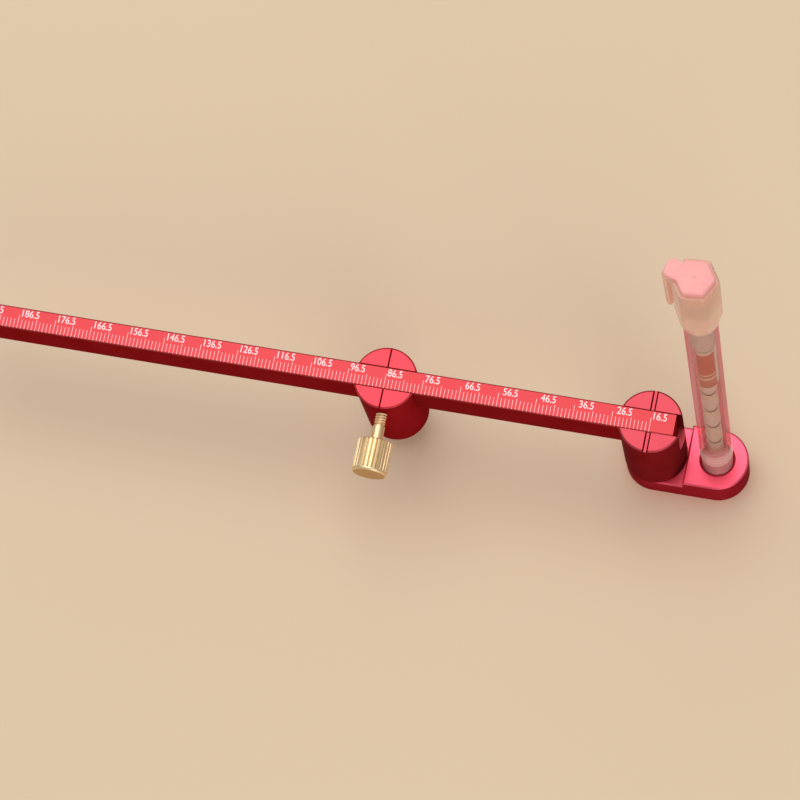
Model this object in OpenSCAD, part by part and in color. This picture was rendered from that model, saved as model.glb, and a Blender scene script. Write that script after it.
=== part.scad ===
// Scribing gauge for circles. A graduated beam is fixed in an end drum that stands on a
// foot, and the foot holds a refillable pencil upright. A second drum slides along the
// beam on a steel centre point and is held by a thumb screw.
// X runs along the beam towards the pencil, -Y towards the thumb screw and Z up.
// The origin is the middle of the foot's base, on the surface that is drawn on.

/* [Beam] */
// Length of the beam
beam_l = 200; // [150:1:300]
// Width of the beam
beam_w = 6; // [5:0.1:8]
// Height of the beam
beam_h = 11.5; // [9:0.1:14]
// Width of the bevel along the beam's edges
beam_bevel_w = 0.3; // [0.1:0.05:0.5]
// Height of that bevel
beam_bevel_h = 0.18; // [0.1:0.02:0.4]
// Beam that reaches past the end drum's axis, towards the pencil
beam_past = 6.3; // [4:0.1:8]

/* [Drums] */
// Diameter of both drums
drum_d = 16.7; // [15:0.1:18]
// Height of both drums
drum_h = 28; // [24:0.5:34]
// Width of the bevel round the drums' rims
drum_bevel_w = 0.45; // [0.2:0.05:0.8]
// Height of that bevel
drum_bevel_h = 0.25; // [0.1:0.05:0.6]
// Gap on each side of the beam in the slider's slot
slide_gap = 0.08; // [0.05:0.01:0.15]
// Gap on each side of the beam in the end drum's slot
seat_gap = 0.02; // [0.01:0.01:0.05]
// Width of the index groove's floor on the end drum
end_groove_w = 0.8; // [0.5:0.1:1.5]
// Width of the index notch on the slider
slider_groove_w = 0.45; // [0.3:0.05:1]
// Depth of both, and width of each sloping wall of the groove
groove_depth = 0.3; // [0.2:0.05:0.6]

/* [Foot] */
// Width of the foot, and twice the radius of its round ends
foot_w = 16.4; // [15:0.1:18]
// Height of the foot under the end drum
foot_low_h = 7.5; // [6:0.1:10]
// Step up to the pencil's end of the foot
foot_step = 3; // [1:0.1:5]
// Gap between the end drum and the step
step_gap = 0.25; // [0.1:0.05:0.5]
// Width of the bevel round the foot's upper edges
foot_bevel_w = 0.45; // [0.1:0.05:0.8]
// Height of that bevel
foot_bevel_h = 0.25; // [0.1:0.05:0.6]
// Distance from the end drum's axis to the pencil's axis
pen_offset = 16.5; // [16:0.5:22]
// Gap round the pencil in its hole
pen_gap = 0.2; // [0.1:0.05:0.4]

/* [Setting] */
// Radius that the gauge is set to
radius_set = 86.5; // [40:0.5:140]

/* [Fasteners] */
// Thread diameter of the screw that holds foot, end drum and beam together
screw_d = 3; // [2.5:0.5:4]
// Head diameter of that screw
screw_head_d = 5.5; // [5:0.1:7]
// Head height of that screw
screw_head_h = 3; // [2:0.1:4]
// Width across the flats of its hex socket
screw_socket = 2.5; // [1.5:0.5:3]
// Depth of the head below the foot's base
screw_sink = 0.8; // [0.4:0.1:1.5]
// Thread held in the beam
screw_grip = 6; // [4:0.5:8]
// Gap round screw, head and dowel
fastener_gap = 0.03; // [0.02:0.01:0.1]
// Diameter of the dowel between foot and end drum
dowel_d = 2; // [1.5:0.5:3]
// Length of the dowel on each side of the joint
dowel_half = 4; // [3:0.5:5]
// Distance of the dowel from the end drum's axis
dowel_offset = 5; // [4.5:0.1:6]

/* [Centre point] */
// Diameter of the centre point
point_d = 3; // [2:0.1:5]
// Length pressed into the slider
point_held = 10; // [6:0.5:14]
// Length of its cone
point_cone = 5; // [3:0.5:7]
// Radius left at its tip
point_tip_r = 0.15; // [0.1:0.05:0.3]
// Gap round the centre point in the slider
point_gap = 0.01; // [0.01:0.01:0.03]

/* [Thumb screw] */
// Thread diameter of the thumb screw
thread_d = 3; // [2.5:0.1:4]
// Pitch of its thread
thread_pitch = 0.7; // [0.5:0.05:1]
// Depth of its thread
thread_depth = 0.3; // [0.1:0.05:0.4]
// Thread that shows outside the slider
thread_out = 3.2; // [2.5:0.1:6]
// Running gap round the thread
thread_gap = 0.05; // [0.02:0.01:0.1]
// Diameter of the plain neck
neck_d = 3.2; // [2.8:0.1:5]
// Length of the plain neck
neck_l = 4.3; // [2:0.1:8]
// Diameter of the knob
knob_d = 9.2; // [7:0.1:14]
// Length of the knob
knob_l = 9; // [6:0.1:14]
// Flutes round the knob
knob_flutes = 26; // [16:1:36]
// Depth of the flutes
flute_depth = 0.4; // [0.2:0.05:0.6]
// Bevel round both ends of the knob
knob_bevel = 0.7; // [0.4:0.05:1.2]
// Diameter of the soft pad on the thumb screw's tip
pad_d = 2.7; // [2.2:0.1:2.8]
// Thickness of the pad
pad_l = 1.2; // [0.8:0.1:2]
// Diameter of the pad's stem
pad_stem_d = 1.2; // [0.8:0.1:1.4]
// Length of the pad's stem
pad_stem_l = 1.6; // [1:0.1:2.5]
// Gap between pad and beam, and between pad and screw
pad_gap = 0.02; // [0.01:0.01:0.05]

/* [Pencil] */
// Outer diameter of the pencil's barrel
pen_d = 8.3; // [7.6:0.1:8.8]
// Wall of the barrel
pen_wall = 1.1; // [0.7:0.05:1.4]
// Height of the barrel's rear end above the surface
pen_top = 140; // [130:1:160]
// Height of the nose's end above the surface
nose_end = 3.5; // [3:0.1:5]
// Height where the nose becomes the barrel
nose_top = 9.5; // [8.5:0.1:10]
// Outer diameter at the nose's end
nose_end_d = 3.4; // [3:0.1:4]
// Fine grip rings round the barrel
grip_rings = 4; // [2:1:6]
// Height of the lowest grip ring
grip_z = 18; // [16:0.5:20]
// Spacing of the grip rings
grip_pitch = 2.2; // [1.6:0.1:3]
// Height that a ring stands out
grip_out = 0.12; // [0.05:0.01:0.18]
// Width of a ring
grip_w = 0.6; // [0.3:0.1:1]

/* [Leads] */
// Lead holders stacked in the barrel
lead_count = 5; // [3:1:6]
// Outer diameter of a lead holder
holder_d = 4.3; // [4.2:0.1:5]
// Outer diameter of a holder's slimmer front
holder_front_d = 3.7; // [3.5:0.1:4]
// Length of that front
holder_front_l = 6.4; // [4:0.1:9]
// Length of the taper behind that front
holder_taper = 1.2; // [0.5:0.1:3]
// Spacing of the holders in the stack
holder_pitch = 13.5; // [13.2:0.1:15]
// Length of a holder's tapered nose
holder_nose = 2.2; // [1.5:0.1:2.5]
// Radius at the root of that nose
holder_nose_r = 1.65; // [1.5:0.05:1.75]
// Radius at the end of that nose
holder_end_r = 1.25; // [1.2:0.05:1.4]
// Bevel round a holder's rear end
holder_bevel = 0.3; // [0.1:0.05:0.4]
// Diameter of a lead
lead_d = 1.9; // [1.2:0.1:2]
// Lead in front of its holder's shoulder
lead_reach = 10.5; // [9.8:0.1:12.8]
// Lead behind its holder's shoulder
lead_root = 0.6; // [0.3:0.1:0.8]
// Length of a lead's tapered tip
lead_taper = 1.2; // [0.5:0.1:2]
// Radius of a lead's blunt end
lead_tip_r = 0.3; // [0.2:0.05:0.5]
// Gap round a lead where its holder grips it
lead_gap = 0.01; // [0.01:0.01:0.03]
// Gap between the pencil's inner pieces
nest_gap = 0.05; // [0.03:0.01:0.1]

/* [Pencil rear] */
// Gap between the label and the rear bush
label_gap = 0.7; // [0.5:0.1:3]
// Length of the rolled label
label_l = 27; // [20:0.5:30]
// Thickness of the label
label_t = 0.12; // [0.1:0.01:0.2]
// Angle that the label wraps
label_wrap = 255; // [200:5:350]
// Turn of the label's open seam from the beam's direction
label_turn = -120; // [-180:5:180]
// Length of the rear bush
bush_l = 31; // [20:0.5:34]
// Wall of the rear bush
bush_wall = 0.7; // [0.4:0.1:1]
// Length of the cap over the barrel
cap_over = 13.5; // [10:0.5:18]
// Outer diameter at the cap's rim
cap_rim_d = 9.6; // [9.4:0.1:10.2]
// Length of the cap's round lower part
cap_round_l = 6; // [4:0.5:8]
// Length of the cap above the barrel
cap_room = 12; // [9:0.5:16]
// Corner-to-corner width of the cap's hexagon
cap_hex_d = 11.6; // [11.4:0.1:12.6]
// Running gap between cap and barrel
cap_gap = 0.06; // [0.03:0.01:0.1]
// Turn of the hexagon
cap_turn = 3; // [-30:1:30]
// Corner-to-corner width of the plug in the cap
plug_d = 9.6; // [9.2:0.1:10.2]
// Length of the plug inside the cap
plug_in = 6; // [4:0.5:8]
// Length of the plug above the cap
plug_out = 2; // [1:0.1:3]
// Gap round the plug
plug_gap = 0.02; // [0.01:0.01:0.05]
// Bevel round the plug's top
plug_bevel = 0.5; // [0.2:0.05:0.8]
// Distance from the end of the plug's tongue to the clip's outer face
tongue_short = 0.5; // [0.2:0.1:1.5]
// Width of the cap's clip
clip_w = 3.2; // [2.4:0.1:4]
// Thickness of the clip
clip_t = 1; // [0.6:0.1:1.4]
// Gap between the clip and the cap
clip_gap = 0.9; // [0.6:0.1:1.5]
// Length of the clip
clip_l = 22; // [16:0.5:24]
// Height of the bridge that joins clip and cap
clip_bridge = 3; // [2:0.1:5]
// Turn of the clip from the beam's direction
clip_turn = -15; // [-30:1:30]

/* [Hidden] */
cut = 1;
drum_x = -pen_offset / 2;
pen_x = pen_offset / 2;
slider_x = pen_x - radius_set;
drum_r = drum_d / 2;
drum_top = foot_low_h + drum_h;
beam_z = drum_top - beam_h;
beam_end_x = drum_x + beam_past;
foot_r = foot_w / 2;
beam_bevel = [beam_bevel_w, beam_bevel_h];
drum_bevel = [drum_bevel_w, drum_bevel_h];
foot_bevel = [foot_bevel_w, foot_bevel_h];
step_x = drum_x + drum_r + step_gap;
foot_high_h = foot_low_h + foot_step;
pen_r = pen_d / 2;
bore_r = pen_r - pen_wall;
pen_hole_r = pen_r + pen_gap;
screw_r = screw_d / 2;
screw_end_z = beam_z + screw_grip;
dowel_x = drum_x - dowel_offset;
clamp_z = beam_z + beam_h / 2;
pad_y = -beam_w / 2 - pad_gap;
thread_y = pad_y - pad_l - pad_gap;
neck_y = -drum_r - thread_out;
knob_y = neck_y - neck_l;
thread_r = thread_d / 2;
thread_turns = floor((thread_y - neck_y) / thread_pitch);
// Corners of one turn of thread and of one flute: share of the pitch, share of the depth
thread_corners = [[0.1, 1], [0.5, 0], [0.9, 1]];
flute_corners = [[0, 1], [0.18, 1], [0.36, 0], [0.82, 0]];
// Corners of one grip ring: share of its width, share of its height
grip_corners = [[0, 0], [0.25, 1], [0.75, 1], [1, 0]];
lead_r = lead_d / 2;
holder_r = holder_d / 2;
holder_front_r = holder_front_d / 2;
holder_seat_r = holder_front_r + nest_gap;
socket_r = lead_r + 4 * nest_gap;
label_r = bore_r - nest_gap;
bush_r = bore_r - nest_gap;
bush_z = pen_top - bush_l;
label_z = bush_z - label_gap - label_l;
cap_rim_z = pen_top - cap_over;
cap_top = pen_top + cap_room;
cap_bore_r = pen_r + cap_gap;
cap_hex_r = cap_hex_d / 2;
clip_x = cap_hex_r + clip_gap;

red = [0.78, 0.09, 0.13];
brass = [0.80, 0.64, 0.33];
steel = [0.62, 0.63, 0.65];
graphite = [0.22, 0.22, 0.23];
clear_pink = [0.93, 0.72, 0.72, 0.6];
milky = [0.90, 0.88, 0.86];
plug_pink = [0.96, 0.60, 0.62];
label_red = [0.82, 0.36, 0.28];

// Solid of revolution about Z; the bevels of its lower and upper rims are [width, height]
module bevelled_rod(r, h, low, high) {
    rotate_extrude()
        polygon([
            [0, 0], [r - low[0], 0], [r, low[1]],
            [r, h - high[1]], [r - high[0], h], [0, h]
        ]);
}

// Bar along X whose upper edges have a bevel of [width, height]
module bevelled_bar(x0, x1, w, h, bevel) {
    translate([x0, 0, 0])
        rotate([90, 0, 90])
            linear_extrude(x1 - x0)
                polygon([
                    [-w / 2, 0], [w / 2, 0], [w / 2, h - bevel[1]],
                    [w / 2 - bevel[0], h], [-w / 2 + bevel[0], h], [-w / 2, h - bevel[1]]
                ]);
}

// Block with round ends that reaches from the end drum's axis to the pencil's axis
module foot_block(h) {
    bevelled_bar(drum_x, pen_x, foot_w, h, foot_bevel);
    for (x = [drum_x, pen_x])
        translate([x, 0, 0])
            bevelled_rod(foot_r, h, [0, 0], foot_bevel);
}

// Space of the foot's higher part, from the bevelled edge of the step to past the pencil
module step_space() {
    far_x = pen_x + foot_w;
    translate([0, foot_w, 0])
        rotate([90, 0, 0])
            linear_extrude(2 * foot_w)
                polygon([
                    [step_x, 0], [far_x, 0], [far_x, foot_high_h],
                    [step_x + foot_bevel_w, foot_high_h], [step_x, foot_high_h - foot_bevel_h]
                ]);
}

module drum_blank() {
    translate([0, 0, foot_low_h])
        bevelled_rod(drum_r, drum_h, drum_bevel, drum_bevel);
}

// Slot through the top of a drum for the beam
module beam_slot(side_gap, floor_gap) {
    translate([-drum_d, -beam_w / 2 - side_gap, beam_z - floor_gap])
        cube([2 * drum_d, beam_w + 2 * side_gap, beam_h + floor_gap + cut]);
}

// Groove along Y across the top of a drum, given its widths at the floor and at the top
module index_groove(floor_w, top_w) {
    over_w = 2 * top_w - floor_w;
    translate([0, drum_d, drum_top])
        rotate([90, 0, 0])
            linear_extrude(2 * drum_d)
                polygon([
                    [-floor_w / 2, -groove_depth], [floor_w / 2, -groove_depth],
                    [over_w / 2, groove_depth], [-over_w / 2, groove_depth]
                ]);
}

// Hexagonal rod about Z, given its corner-to-corner radius
module hex_rod(r, h) {
    cylinder(r = r, h = h, $fn = 6);
}

module beam() {
    color(red)
        difference() {
            translate([0, 0, beam_z])
                intersection() {
                    bevelled_bar(beam_end_x - beam_l, beam_end_x, beam_w, beam_h, beam_bevel);
                    translate([0, 0, beam_h])
                        mirror([0, 0, 1])
                            bevelled_bar(beam_end_x - beam_l, beam_end_x, beam_w, beam_h, beam_bevel);
                }
            translate([drum_x, 0, beam_z - cut])
                cylinder(r = screw_r + fastener_gap, h = screw_grip + 2 * cut);
        }
}

module end_drum() {
    color(red)
        translate([drum_x, 0, 0])
            difference() {
                drum_blank();
                beam_slot(seat_gap, 0);
                index_groove(end_groove_w, end_groove_w + 2 * groove_depth);
                cylinder(r = screw_r + fastener_gap, h = drum_top);
                translate([-dowel_offset, 0, 0])
                    cylinder(r = dowel_d / 2 + fastener_gap, h = foot_low_h + dowel_half + fastener_gap);
            }
}

module foot() {
    color(red)
        difference() {
            union() {
                foot_block(foot_low_h);
                intersection() {
                    foot_block(foot_high_h);
                    step_space();
                }
            }
            translate([pen_x, 0, -cut])
                cylinder(r = pen_hole_r, h = foot_high_h + 2 * cut);
            translate([pen_x, 0, foot_high_h - foot_bevel_h])
                cylinder(r1 = pen_hole_r, r2 = pen_hole_r + 2 * foot_bevel_w, h = 2 * foot_bevel_h);
            translate([drum_x, 0, -cut]) {
                cylinder(r = screw_r + fastener_gap, h = foot_low_h + 2 * cut);
                cylinder(r = screw_head_d / 2 + fastener_gap, h = screw_sink + screw_head_h + cut);
            }
            translate([dowel_x, 0, foot_low_h - dowel_half - fastener_gap])
                cylinder(r = dowel_d / 2 + fastener_gap, h = dowel_half + fastener_gap + cut);
        }
}

module beam_screw() {
    color(steel)
        translate([drum_x, 0, screw_sink])
            difference() {
                union() {
                    cylinder(d = screw_head_d, h = screw_head_h);
                    cylinder(r = screw_r, h = screw_end_z - screw_sink);
                }
                translate([0, 0, -cut])
                    hex_rod(screw_socket / sqrt(3), screw_head_h / 2 + cut);
            }
}

module drum_dowel() {
    color(steel)
        translate([dowel_x, 0, foot_low_h - dowel_half])
            cylinder(d = dowel_d, h = 2 * dowel_half);
}

module slider_drum() {
    color(red)
        translate([slider_x, 0, 0])
            difference() {
                drum_blank();
                beam_slot(slide_gap, slide_gap);
                index_groove(0, slider_groove_w);
                cylinder(r = point_d / 2 + point_gap, h = foot_low_h + point_held + point_gap);
                translate([0, 0, clamp_z])
                    rotate([90, 0, 0])
                        cylinder(r = thread_r + thread_gap, h = drum_d);
            }
}

module centre_point() {
    color(steel)
        translate([slider_x, 0, 0])
            rotate_extrude()
                polygon([
                    [0, 0], [point_tip_r, 0], [point_d / 2, point_cone],
                    [point_d / 2, foot_low_h + point_held], [0, foot_low_h + point_held]
                ]);
}

module clamp_pad() {
    color(milky)
        translate([slider_x, pad_y, clamp_z])
            rotate([90, 0, 0]) {
                cylinder(d = pad_d, h = pad_l);
                cylinder(d = pad_stem_d, h = pad_l + pad_gap + pad_stem_l);
            }
}

// Fluted knob along Z, with bevelled ends
module knob() {
    flute = 360 / knob_flutes;
    intersection() {
        bevelled_rod(knob_d / 2, knob_l, [knob_bevel, knob_bevel] / 2, [knob_bevel, knob_bevel]);
        linear_extrude(knob_l)
            polygon([
                for (i = [0:knob_flutes - 1], corner = flute_corners)
                    (knob_d / 2 - corner[1] * flute_depth)
                        * [cos(flute * (i + corner[0])), sin(flute * (i + corner[0]))]
            ]);
    }
}

module clamp_screw() {
    thread_l = thread_y - neck_y;
    color(brass)
        translate([slider_x, thread_y, clamp_z])
            rotate([90, 0, 0])
                difference() {
                    union() {
                        rotate_extrude()
                            polygon(concat(
                                [[0, 0]],
                                [for (i = [0:thread_turns - 1], corner = thread_corners)
                                    [thread_r - corner[1] * thread_depth, (i + corner[0]) * thread_pitch]],
                                [[thread_r - thread_depth, thread_l], [0, thread_l]]
                            ));
                        translate([0, 0, thread_l])
                            cylinder(d = neck_d, h = neck_l);
                        translate([0, 0, thread_l + neck_l])
                            knob();
                    }
                    translate([0, 0, -cut])
                        cylinder(r = pad_stem_d / 2 + thread_gap, h = pad_stem_l + 2 * pad_gap + cut);
                }
}

module pen_barrel() {
    ring_z = [for (i = [0:grip_rings - 1]) grip_z + i * grip_pitch];
    seat_z = lead_reach - nest_gap;
    seat_top = seat_z + 2 * pen_wall;
    throat_r = holder_nose_r + nest_gap;
    throat_z = seat_z - holder_nose - nest_gap;
    color(clear_pink)
        translate([pen_x, 0, 0])
            rotate_extrude()
                polygon(concat(
                    [[socket_r, nose_end], [nose_end_d / 2, nose_end], [pen_r, nose_top]],
                    [for (z = ring_z, corner = grip_corners)
                        [pen_r + corner[1] * grip_out, z + corner[0] * grip_w]],
                    [[pen_r, pen_top], [bore_r, pen_top], [bore_r, seat_top + bore_r - holder_seat_r]],
                    [[holder_seat_r, seat_top], [holder_seat_r, seat_z], [throat_r, seat_z]],
                    [[throat_r, throat_z], [socket_r, throat_z - pen_wall]]
                ));
}

module pen_label() {
    color(label_red)
        translate([pen_x, 0, label_z])
            rotate([0, 0, label_turn])
                rotate_extrude(angle = label_wrap)
                    translate([label_r - label_t, 0])
                        square([label_t, label_l]);
}

module rear_bush() {
    color(milky)
        translate([pen_x, 0, bush_z])
            difference() {
                cylinder(r = bush_r, h = bush_l);
                translate([0, 0, -cut])
                    cylinder(r = bush_r - bush_wall, h = bush_l + 2 * cut);
            }
}

// One lead holder, whose tapered nose sits in the mouth of the holder in front of it
module lead_holder(i) {
    top = holder_pitch - nest_gap;
    color(milky)
        translate([pen_x, 0, lead_reach + (i - 1) * holder_pitch])
            rotate_extrude()
                polygon([
                    [lead_r + lead_gap, -holder_nose], [holder_end_r, -holder_nose], [holder_nose_r, 0],
                    [holder_front_r, 0], [holder_front_r, holder_front_l],
                    [holder_r, holder_front_l + holder_taper],
                    [holder_r, top - holder_bevel], [holder_r - holder_bevel, top],
                    [holder_nose_r + nest_gap, top], [holder_end_r + nest_gap, top - holder_nose],
                    [socket_r, top - holder_nose - nest_gap],
                    [socket_r, lead_root + nest_gap], [lead_r + lead_gap, lead_root + nest_gap]
                ]);
}

module pencil_lead(i) {
    color(graphite)
        translate([pen_x, 0, (i - 1) * holder_pitch])
            rotate_extrude()
                polygon([
                    [0, 0], [lead_tip_r, 0], [lead_r, lead_taper],
                    [lead_r, lead_reach + lead_root], [0, lead_reach + lead_root]
                ]);
}

module pen_cap() {
    hex_z = cap_rim_z + cap_round_l;
    color(clear_pink)
        translate([pen_x, 0, 0])
            difference() {
                union() {
                    translate([0, 0, cap_rim_z])
                        cylinder(d1 = cap_rim_d, d2 = cap_hex_d * cos(30), h = cap_round_l);
                    translate([0, 0, hex_z])
                        rotate([0, 0, cap_turn])
                            hex_rod(cap_hex_r, cap_top - hex_z);
                    rotate([0, 0, clip_turn]) {
                        translate([-clip_x - clip_t, -clip_w / 2, cap_top - clip_l])
                            cube([clip_t, clip_w, clip_l]);
                        translate([-clip_x - clip_t, -clip_w / 2, cap_top - clip_bridge])
                            cube([clip_x, clip_w, clip_bridge]);
                    }
                }
                translate([0, 0, cap_rim_z - cut])
                    cylinder(r = cap_bore_r, h = pen_top + cap_gap - cap_rim_z + cut);
                translate([0, 0, pen_top])
                    cylinder(r = cap_bore_r - pen_wall, h = cap_top - pen_top);
                translate([0, 0, cap_top - plug_in])
                    rotate([0, 0, cap_turn])
                        hex_rod(plug_d / 2 + plug_gap, plug_in + cut);
            }
}

module cap_plug() {
    tongue_l = clip_x + clip_t - tongue_short;
    color(plug_pink)
        translate([pen_x, 0, cap_top - plug_in]) {
            rotate([0, 0, cap_turn])
                intersection() {
                    hex_rod(plug_d / 2, plug_in + plug_out);
                    bevelled_rod(plug_d / 2, plug_in + plug_out, [0, 0], [plug_bevel, plug_bevel]);
                }
            rotate([0, 0, clip_turn])
                translate([-tongue_l, -clip_w / 2, plug_in + plug_gap])
                    cube([tongue_l, clip_w, plug_out - plug_gap - plug_bevel]);
        }
}

beam();
end_drum();
foot();
beam_screw();
drum_dowel();
slider_drum();
centre_point();
clamp_pad();
clamp_screw();
pen_barrel();
pen_label();
rear_bush();
pen_cap();
cap_plug();
for (i = [1:lead_count])
    lead_holder(i);
for (i = [1:lead_count])
    pencil_lead(i);
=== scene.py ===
import math

import bmesh
import bpy
from mathutils import Matrix, Vector


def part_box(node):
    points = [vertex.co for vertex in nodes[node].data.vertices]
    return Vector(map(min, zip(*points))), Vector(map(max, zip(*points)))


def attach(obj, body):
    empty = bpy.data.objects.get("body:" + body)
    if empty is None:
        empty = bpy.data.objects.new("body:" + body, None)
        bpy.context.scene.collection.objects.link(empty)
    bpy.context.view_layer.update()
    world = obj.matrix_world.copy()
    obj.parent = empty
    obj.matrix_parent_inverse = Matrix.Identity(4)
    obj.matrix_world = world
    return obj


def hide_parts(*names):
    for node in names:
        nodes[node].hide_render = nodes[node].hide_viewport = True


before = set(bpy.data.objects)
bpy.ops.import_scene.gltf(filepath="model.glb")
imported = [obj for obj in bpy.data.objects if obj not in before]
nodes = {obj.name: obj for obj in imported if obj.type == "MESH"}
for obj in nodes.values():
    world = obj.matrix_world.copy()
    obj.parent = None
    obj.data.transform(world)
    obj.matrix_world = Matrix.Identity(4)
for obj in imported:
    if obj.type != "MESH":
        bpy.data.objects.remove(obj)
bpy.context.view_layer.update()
mm = 0.001
tiny = 1e-7  # keeps a division by a radius of nothing safe
print("frame loaded with", len(nodes), "nodes")


def boxMm(node):
    low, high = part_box(node)
    return low / mm, high / mm


def middle(node):
    low, high = boxMm(node)
    return (low + high) / 2


# what the frame gives, with places in millimetres
beamLow, beamHigh = boxMm("beam")
penLow, penHigh = boxMm("pen_barrel")
capLow, capHigh = boxMm("pen_cap")
plugLow, plugHigh = boxMm("cap_plug")
labelLow, labelHigh = boxMm("pen_label")
holderLow = boxMm("lead_holder_1")[0]
screwLow, screwHigh = boxMm("clamp_screw")
drumTop = boxMm("end_drum")[1].z
penX = middle("pen_barrel").x
endX = middle("end_drum").x
sliderX = middle("slider_drum").x
clampZ = middle("clamp_screw").z
holderCount = sum(name.startswith("lead_holder_") for name in nodes)


# camera, floor and light
view = {
    "place": (86.37, -254.09, 899.03),
    "aim": (-79.82, 4.98, 0.0),
    "roll": -21.92,
    "lens": 158.42,
    "sensor": 36.0,
    "clipStart": 0.01,  # in metres
    "clipEnd": 100.0,
}

studio = {
    "keyPlace": (-290, 330, 1130),
    "keyAim": (-60, 0, 20),
    "keySize": 1200,
    "keyLevel": 2.05,  # brightness of the soft box itself
    "fillPlace": (520, -900, 560),
    "fillSize": 700,
    "fillLevel": 2.4,
    "roomColour": (1.0, 0.97, 0.92, 1.0),
    "roomLevel": 0.48,
    "floorRadius": 4000,
    "floorMiddle": 0.1,  # share of the radius, for an inner ring
    "floorColour": (0.72, 0.56, 0.40, 1.0),
    "floorShade": 0.98,
    "floorCloud": 220.0,
    "floorRough": 0.9,
}


def turnTo(place, aim):
    return (Vector(aim) - Vector(place)).to_track_quat("-Z", "Y").to_matrix().to_4x4()


def makeCamera():
    data = bpy.data.cameras.new("camera")
    data.lens = view["lens"]
    data.sensor_width = view["sensor"]
    data.clip_start = view["clipStart"]
    data.clip_end = view["clipEnd"]
    camera = bpy.data.objects.new("camera", data)
    bpy.context.scene.collection.objects.link(camera)
    roll = Matrix.Rotation(math.radians(view["roll"]), 4, "Z")
    place = Matrix.Translation(Vector(view["place"]) * mm)
    camera.matrix_world = place @ turnTo(view["place"], view["aim"]) @ roll
    bpy.context.scene.camera = camera


def softBox(name, place, aim, size, level):
    data = bpy.data.lights.new(name, "AREA")
    data.shape = "SQUARE"
    data.size = size * mm
    data.energy = level * math.pi * data.size ** 2
    lamp = bpy.data.objects.new(name, data)
    bpy.context.scene.collection.objects.link(lamp)
    lamp.matrix_world = Matrix.Translation(Vector(place) * mm) @ turnTo(place, aim)


# node graphs: values that take part in arithmetic, and one method that makes any node
class Val:
    def __init__(self, graph, socket):
        self.graph = graph
        self.socket = socket

    def calc(self, operation, first, second=0.0):
        return self.graph.add("ShaderNodeMath", {"operation": operation}, [first, second])

    def __add__(self, other):
        return self.calc("ADD", self, other)

    def __sub__(self, other):
        return self.calc("SUBTRACT", self, other)

    def __rsub__(self, other):
        return self.calc("SUBTRACT", other, self)

    def __mul__(self, other):
        return self.calc("MULTIPLY", self, other)

    def __truediv__(self, other):
        return self.calc("DIVIDE", self, other)

    def __mod__(self, other):
        return self.calc("FLOORED_MODULO", self, other)

    def __pow__(self, other):
        return self.calc("POWER", self, other)

    def __lt__(self, other):
        return self.calc("LESS_THAN", self, other)

    def __gt__(self, other):
        return self.calc("GREATER_THAN", self, other)

    def __abs__(self):
        return self.calc("ABSOLUTE", self)

    def atLeast(self, other):
        return self.calc("MAXIMUM", self, other)

    def limited(self):
        return self.calc("MINIMUM", self.atLeast(0.0), 1.0)

    __radd__ = __add__
    __rmul__ = __mul__


class Graph:
    def __init__(self, tree):
        self.tree = tree

    def add(self, kind, settings=None, sockets=None, output=0):
        node = self.tree.nodes.new(kind)
        for key, value in (settings or {}).items():
            if key == "stops":
                self.fillRamp(node.color_ramp, value)
            else:
                setattr(node, key, value)
        pairs = enumerate(sockets) if isinstance(sockets, list) else (sockets or {}).items()
        for key, value in pairs:
            if isinstance(value, Val):
                self.tree.links.new(value.socket, node.inputs[key])
            else:
                node.inputs[key].default_value = value
        return Val(self, node.outputs[output]) if node.outputs else None

    def split(self, vector):
        node = self.add("ShaderNodeSeparateXYZ", None, {"Vector": vector}).socket.node
        return [Val(self, socket) for socket in node.outputs]

    def fillRamp(self, ramp, stops):
        while len(ramp.elements) < len(stops):
            ramp.elements.new(1.0)
        for element, (position, colour) in zip(ramp.elements, stops):
            element.position = position
            element.color = colour


# layers of noise in a rich grain, a plain one and fine lines
richGrain = 3.0
plainGrain = 2.0
lineGrain = 1.0


class Finish(Graph):
    def __init__(self, name):
        self.material = bpy.data.materials.new(name)
        self.material.use_nodes = True
        super().__init__(self.material.node_tree)
        self.tree.nodes.clear()

    def spot(self, scale=(1.0, 1.0, 1.0), shift=(0.0, 0.0, 0.0)):
        place = self.add("ShaderNodeTexCoord", None, None, "Object")
        return self.add("ShaderNodeMapping", None, {"Vector": place, "Location": shift, "Scale": scale})

    def axes(self, shift=(0.0, 0.0, 0.0)):
        return self.split(self.spot(shift=shift))

    def grain(self, size, detail=plainGrain, stretch=(1.0, 1.0, 1.0)):
        sockets = {"Vector": self.spot(stretch), "Scale": 1.0 / (size * mm), "Detail": detail}
        return self.add("ShaderNodeTexNoise", None, sockets)

    def lines(self, along, size):
        sockets = {"W": along, "Scale": 1.0 / (size * mm), "Detail": lineGrain}
        return self.add("ShaderNodeTexNoise", {"noise_dimensions": "1D"}, sockets)

    def mixed(self, factor, first, second):
        # the numbers are the node's sockets for colours
        return self.add("ShaderNodeMix", {"data_type": "RGBA"}, {0: factor, 6: first, 7: second}, 2)

    def bump(self, height, depth):
        return self.add("ShaderNodeBump", None, {"Height": height, "Distance": depth * mm, "Strength": 1.0})

    def shader(self, sockets):
        return self.add("ShaderNodeBsdfPrincipled", None, sockets, "BSDF")

    def close(self, surface):
        if isinstance(surface, dict):
            surface = self.shader(surface)
        self.add("ShaderNodeOutputMaterial", None, {"Surface": surface})
        return self.material


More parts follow.
